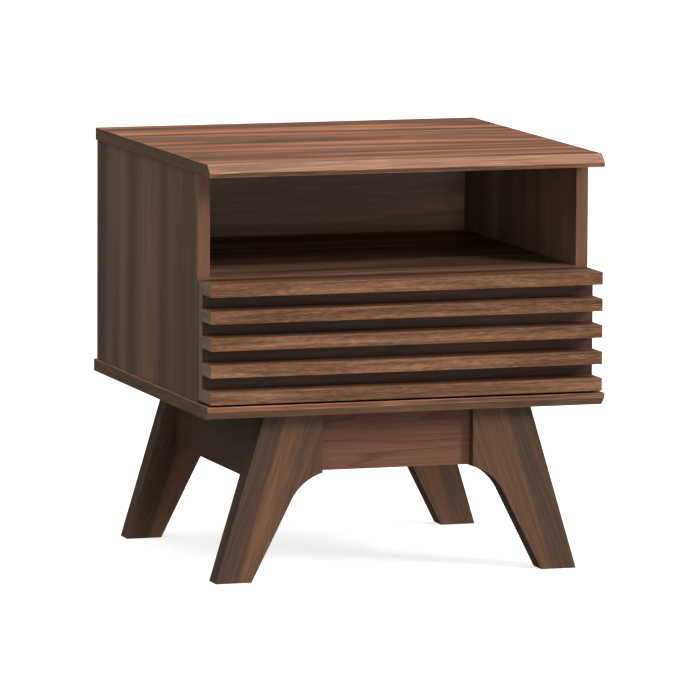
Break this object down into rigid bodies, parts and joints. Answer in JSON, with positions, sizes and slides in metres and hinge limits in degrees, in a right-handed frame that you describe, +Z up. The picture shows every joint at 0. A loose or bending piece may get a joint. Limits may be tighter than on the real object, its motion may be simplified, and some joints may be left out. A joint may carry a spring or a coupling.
{
  "type": "nightstand",
  "caption": "Walnut-look bedside cabinet: open niche over a slat-fronted drawer on steel slides, bevelled top and bottom panels, splayed board legs joined by aprons.",
  "frame": {"origin": "on the floor, under the centre of the top panel, in the middle of the width and the depth", "axes": "+Z up; -Y towards the person who opens the drawer; +X to that person's right"},
  "size_m": [0.487, 0.47, 0.493],
  "materials": {
    "walnut_panel": "satin walnut-look laminate, grain along each board",
    "walnut_slat": "satin walnut-look laminate, fine grain along the slat",
    "walnut_base": "satin stained walnut, grain along the leg or apron",
    "base_block": "raw softwood block",
    "drawer_board": "satin walnut-look laminate",
    "thin_board": "printed hardboard",
    "steel": "zinc plated",
    "cam_cover": "moulded brown cap"
  },
  "bodies": {
    "root": {"top_panel": "walnut_panel", "bottom_panel": "walnut_panel", "side_panel_left": "walnut_panel", "side_panel_right": "walnut_panel", "shelf_panel": "walnut_panel", "back_panel": "walnut_panel", "cam_lock_top_front_left": "steel", "cam_lock_top_back_left": "steel", "cam_lock_top_front_right": "steel", "cam_lock_top_back_right": "steel", "cam_lock_bottom_front_left": "steel", "cam_lock_bottom_back_left": "steel", "cam_lock_bottom_front_right": "steel", "cam_lock_bottom_back_right": "steel", "cam_lock_shelf_front_left": "steel", "cam_lock_shelf_back_left": "steel", "cam_lock_shelf_front_right": "steel", "cam_lock_shelf_back_right": "steel", "cam_cover_front_left": "cam_cover", "cam_cover_back_left": "cam_cover", "cam_cover_front_right": "cam_cover", "cam_cover_back_right": "cam_cover", "slide_cabinet_member_left": "steel", "slide_cabinet_member_right": "steel", "leg_front_left": "walnut_base", "leg_back_left": "walnut_base", "leg_front_right": "walnut_base", "leg_back_right": "walnut_base", "apron_front": "walnut_base", "apron_back": "walnut_base", "apron_left": "walnut_base", "apron_right": "walnut_base", "corner_block_front_left": "base_block", "corner_block_back_left": "base_block", "corner_block_front_right": "base_block", "corner_block_back_right": "base_block", "leg_bolt_front_left": "steel", "leg_bolt_back_left": "steel", "leg_bolt_front_right": "steel", "leg_bolt_back_right": "steel", "base_screw_front_left": "steel", "base_screw_back_left": "steel", "base_screw_front_right": "steel", "base_screw_back_right": "steel"},
    "drawer": {"drawer_front_board": "walnut_panel", "drawer_slat_1": "walnut_slat", "drawer_slat_2": "walnut_slat", "drawer_slat_3": "walnut_slat", "drawer_slat_4": "walnut_slat", "drawer_slat_5": "walnut_slat", "drawer_side_left": "drawer_board", "drawer_side_right": "drawer_board", "drawer_back": "drawer_board", "drawer_bottom": "thin_board", "slide_drawer_member_left": "steel", "slide_drawer_member_right": "steel"},
    "slide_middle_left": {"slide_middle_member_left": "steel"},
    "slide_middle_right": {"slide_middle_member_right": "steel"}
  },
  "joints": [
    {"name": "drawer_slide", "type": "slide", "parent": "root", "child": "drawer", "axis": [0, -1, 0], "range_m": [0, 0.33]},
    {"name": "slide_travel_left", "type": "slide", "parent": "root", "child": "slide_middle_left", "axis": [0, -1, 0], "range_m": [0, 0.165]},
    {"name": "slide_travel_right", "type": "slide", "parent": "root", "child": "slide_middle_right", "axis": [0, -1, 0], "range_m": [0, 0.165]}
  ],
  "couplings": [
    {"joint": "slide_travel_left", "follows": "drawer_slide", "ratio": 0.5},
    {"joint": "slide_travel_right", "follows": "drawer_slide", "ratio": 0.5}
  ]
}
